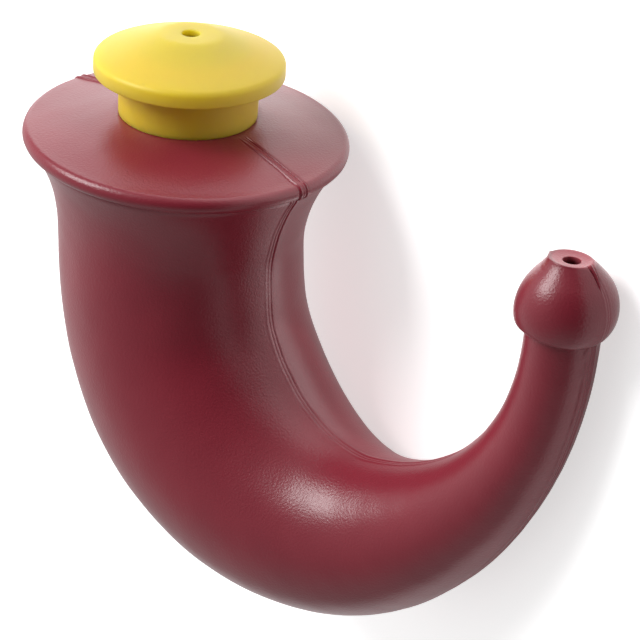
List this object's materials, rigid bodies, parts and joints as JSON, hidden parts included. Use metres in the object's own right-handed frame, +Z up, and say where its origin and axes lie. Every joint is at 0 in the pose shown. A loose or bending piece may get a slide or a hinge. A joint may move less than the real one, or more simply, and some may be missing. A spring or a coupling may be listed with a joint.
{
  "type": "neti pot",
  "caption": "Curved horn-shaped neti pot: a flanged fill end with a push-in vented stopper, and a tapering spout that ends in a rounded bulb with a small outlet.",
  "frame": {"origin": "centre of the part's bounding box at the surface it lies on", "axes": "+Z up from the table; the horn lies on its side with its fill end and stopper towards +Y and its nozzle bulb on the +X side; X is its longest extent and Z its shortest"},
  "size_m": [0.156, 0.127, 0.0749],
  "materials": {
    "horn": "satin blow-moulded polyethylene with a fine leathery texture",
    "stopper": "satin moulded polyethylene, slightly translucent"
  },
  "bodies": {
    "horn": {"horn": "horn"},
    "stopper": {"stopper": "stopper"}
  },
  "joints": [
    {"name": "stopper_pull", "type": "slide", "parent": "horn", "child": "stopper", "axis": [-0.0288, 0.9988, 0.0408], "range_m": [0, 0.03]}
  ]
}
